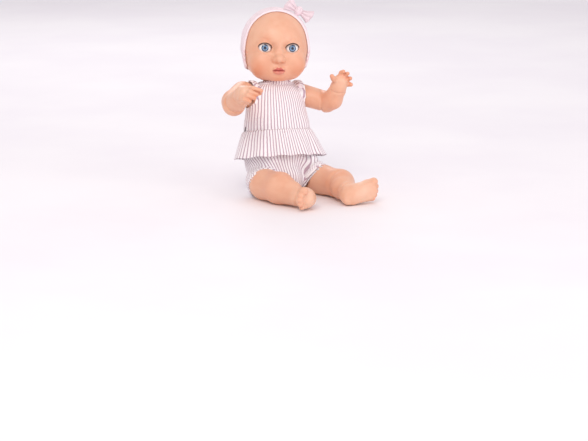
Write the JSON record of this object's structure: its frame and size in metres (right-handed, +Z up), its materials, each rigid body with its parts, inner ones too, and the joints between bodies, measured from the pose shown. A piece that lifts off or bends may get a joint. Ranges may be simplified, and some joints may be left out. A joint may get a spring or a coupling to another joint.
{
  "type": "interactive baby doll",
  "caption": "Seated vinyl baby doll with turning head and limbs, rolling eyes, a tummy button and sound module, dressed in a striped romper and a bow headband.",
  "frame": {"origin": "middle of the seat contact, on the surface the doll sits on, below the torso's lower end", "axes": "+Z up; the doll faces -Y and its own right side is -X"},
  "size_m": [0.1707, 0.2136, 0.2446],
  "materials": {
    "skin_vinyl": "soft sheen vinyl",
    "shell_plastic": "satin",
    "white_plastic": "satin",
    "dark_plastic": "satin",
    "eye_plastic": "polished",
    "button_plastic": "satin",
    "stripe_cloth": "woven",
    "band_knit": "knitted",
    "tape_cloth": "woven",
    "steel": "bright",
    "cell_jacket": "printed film",
    "board": "solder mask",
    "component": "mixed",
    "cone_paper": "paper",
    "wire_jacket": "satin"
  },
  "bodies": {
    "torso": {"torso_front": "shell_plastic", "torso_back": "shell_plastic", "shell_screws": "steel", "neck_post": "white_plastic", "neck_lock_ring": "white_plastic", "neck_screw": "steel", "battery_case": "white_plastic", "battery_door": "shell_plastic", "battery_door_screw": "steel", "battery_left": "cell_jacket", "battery_right": "cell_jacket", "battery_springs": "steel", "battery_contacts": "steel", "circuit_board": "board", "sound_chip": "dark_plastic", "board_components": "component", "tact_switch": "dark_plastic", "board_screws": "steel", "speaker_frame": "dark_plastic", "speaker_cone": "cone_paper", "speaker_magnet": "steel", "battery_wires": "wire_jacket", "speaker_wires": "wire_jacket", "power_switch_body": "dark_plastic", "romper_bodice": "stripe_cloth", "romper_peplum": "stripe_cloth", "romper_bloomers": "stripe_cloth", "romper_back_closure": "tape_cloth", "romper_shoulder_button": "white_plastic"},
    "head": {"head_shell": "skin_vinyl", "eye_bracket": "white_plastic", "headband": "band_knit", "bow_loops": "band_knit", "bow_knot": "band_knit"},
    "eyes": {"left_eyeball": "eye_plastic", "right_eyeball": "eye_plastic", "eye_axle": "steel", "eye_weight": "steel"},
    "right_arm": {"right_arm": "skin_vinyl", "right_arm_flange": "skin_vinyl"},
    "left_arm": {"left_arm": "skin_vinyl", "left_arm_flange": "skin_vinyl"},
    "right_leg": {"right_leg": "skin_vinyl", "right_leg_flange": "skin_vinyl", "right_bloomer_leg": "stripe_cloth"},
    "left_leg": {"left_leg": "skin_vinyl", "left_leg_flange": "skin_vinyl", "left_bloomer_leg": "stripe_cloth"},
    "tummy_button": {"tummy_button": "button_plastic", "button_spring": "steel"},
    "power_switch_knob": {"power_switch_knob": "dark_plastic"}
  },
  "joints": [
    {"name": "neck_turn", "type": "hinge", "parent": "torso", "child": "head", "pos_m": [0.0063, 0.03493, 0.14039], "axis": [0.0607, 0.0784, 0.9951], "range_deg": [-55, 70]},
    {"name": "eye_roll", "type": "hinge", "parent": "head", "child": "eyes", "pos_m": [0.00198, 0.01581, 0.18387], "axis": [0.9548, -0.2952, -0.035], "range_deg": [0, 70]},
    {"name": "right_shoulder", "type": "hinge", "parent": "torso", "child": "right_arm", "pos_m": [-0.02868, 0.03201, 0.12268], "axis": [0.999, 0, -0.0436], "range_deg": [-110, 50]},
    {"name": "left_shoulder", "type": "hinge", "parent": "torso", "child": "left_arm", "pos_m": [0.03926, 0.03201, 0.11971], "axis": [0.999, 0, -0.0436], "range_deg": [-110, 50]},
    {"name": "right_hip", "type": "hinge", "parent": "torso", "child": "right_leg", "pos_m": [-0.022, -0.005, 0.0188], "axis": [1, 0, 0], "range_deg": [-6, 80]},
    {"name": "left_hip", "type": "hinge", "parent": "torso", "child": "left_leg", "pos_m": [0.022, -0.005, 0.0188], "axis": [1, 0, 0], "range_deg": [-6, 80]},
    {"name": "tummy_button_press", "type": "slide", "parent": "torso", "child": "tummy_button", "axis": [-0.0098, 0.9744, -0.2247], "range_m": [0, 0.0018], "stiffness_N_per_m": 600, "springref_m": -0.0005, "deforming": ["button_spring"]},
    {"name": "power_switch_slide", "type": "slide", "parent": "torso", "child": "power_switch_knob", "axis": [0.999, 0, -0.0436], "range_m": [0, 0.0024]}
  ]
}
